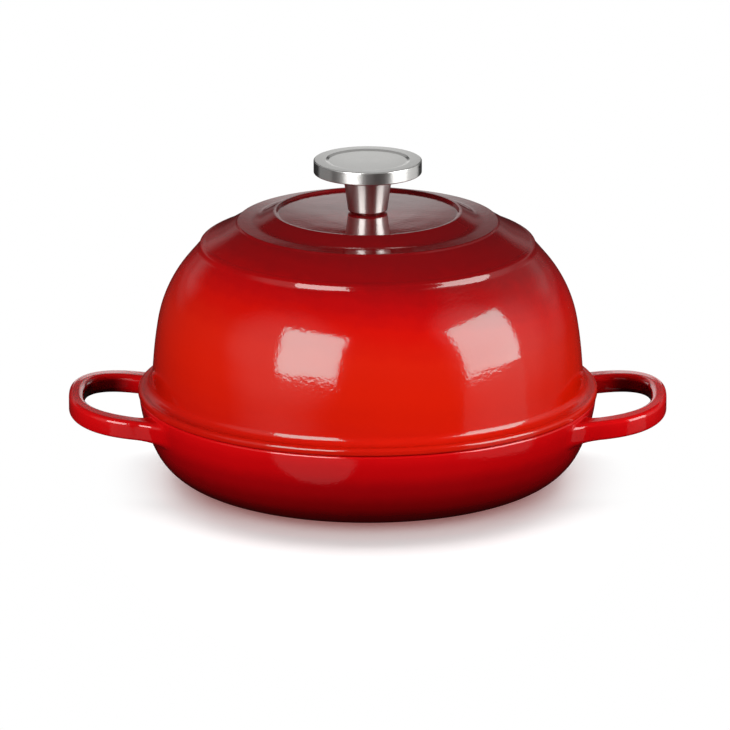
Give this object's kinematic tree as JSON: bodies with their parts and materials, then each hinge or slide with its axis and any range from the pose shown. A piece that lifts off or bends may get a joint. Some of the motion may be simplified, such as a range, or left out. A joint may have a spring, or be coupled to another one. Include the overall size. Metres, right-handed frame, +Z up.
{
  "type": "cast iron bread pan",
  "caption": "Round enamelled cast-iron bread pan: a shallow base with loop handles under a tall stepped dome lid, which lifts off by a turned steel knob so that a loaf bakes in its own steam.",
  "frame": {"origin": "on the table, below the middle of the round pan", "axes": "+X through the middle of one loop handle, +Z up along the axis of pan, lid and knob"},
  "size_m": [0.3342, 0.2568, 0.1824],
  "materials": {
    "red_enamel_base": "glossy vitreous enamel",
    "red_enamel_lid": "glossy vitreous enamel",
    "satin_steel": "turned, satin",
    "zinc_plated_steel": "zinc plated"
  },
  "bodies": {
    "base": {"base_pan": "red_enamel_base"},
    "lid": {"lid_dome": "red_enamel_lid", "lid_knob": "satin_steel", "knob_screw": "zinc_plated_steel", "knob_washer": "zinc_plated_steel"}
  },
  "joints": [
    {"name": "lid_lift", "type": "slide", "parent": "base", "child": "lid", "axis": [0, 0, 1], "range_m": [0, 0.15]}
  ]
}
